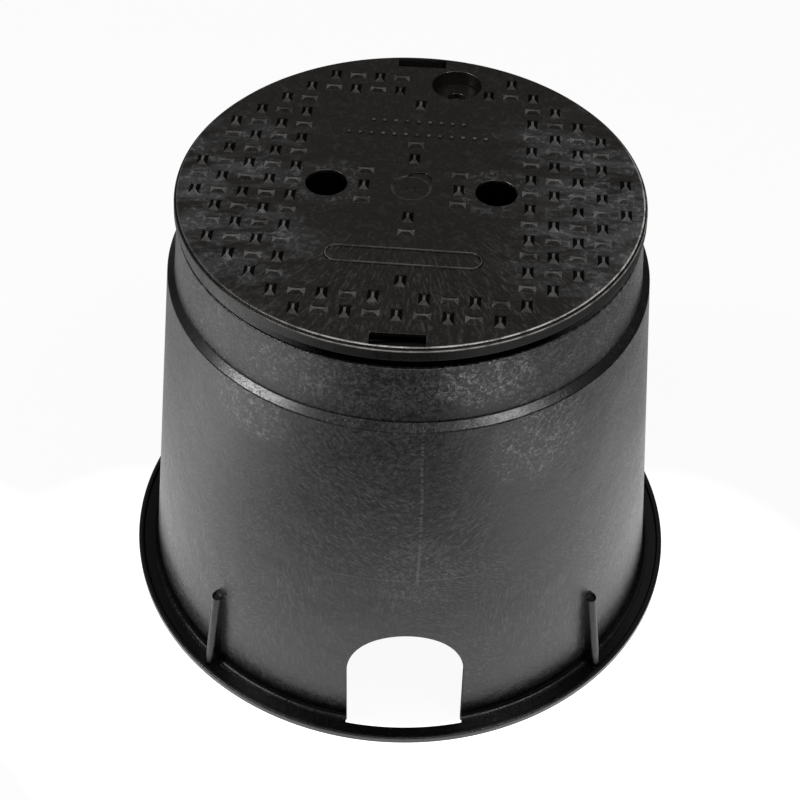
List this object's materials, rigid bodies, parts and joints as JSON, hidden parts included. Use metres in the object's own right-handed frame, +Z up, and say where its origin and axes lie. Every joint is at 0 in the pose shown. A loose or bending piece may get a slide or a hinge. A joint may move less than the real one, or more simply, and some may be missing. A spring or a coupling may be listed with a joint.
{
  "type": "irrigation valve box",
  "caption": "Round tapered irrigation valve box with a flanged open base, arched pipe openings and a treaded lift-off cover with finger holes and prising slots.",
  "frame": {"origin": "on the ground, at the middle of the base flange", "axes": "+Z up along the box's own axis; the pipe openings face -Y (front) and +Y (back); +X is to the right when looking along +Y"},
  "size_m": [0.3268, 0.3268, 0.2632],
  "materials": {
    "box_plastic": "black structural foam plastic with short swirling flow marks and a soft satin sheen",
    "cover_plastic": "black plastic with flow streaks running out from the middle and a low satin sheen"
  },
  "bodies": {
    "box": {"box_body": "box_plastic"},
    "lid": {"cover": "cover_plastic"}
  },
  "joints": [
    {"name": "cover_lift", "type": "slide", "parent": "box", "child": "lid", "axis": [0, 0, 1], "range_m": [0, 0.15]}
  ]
}
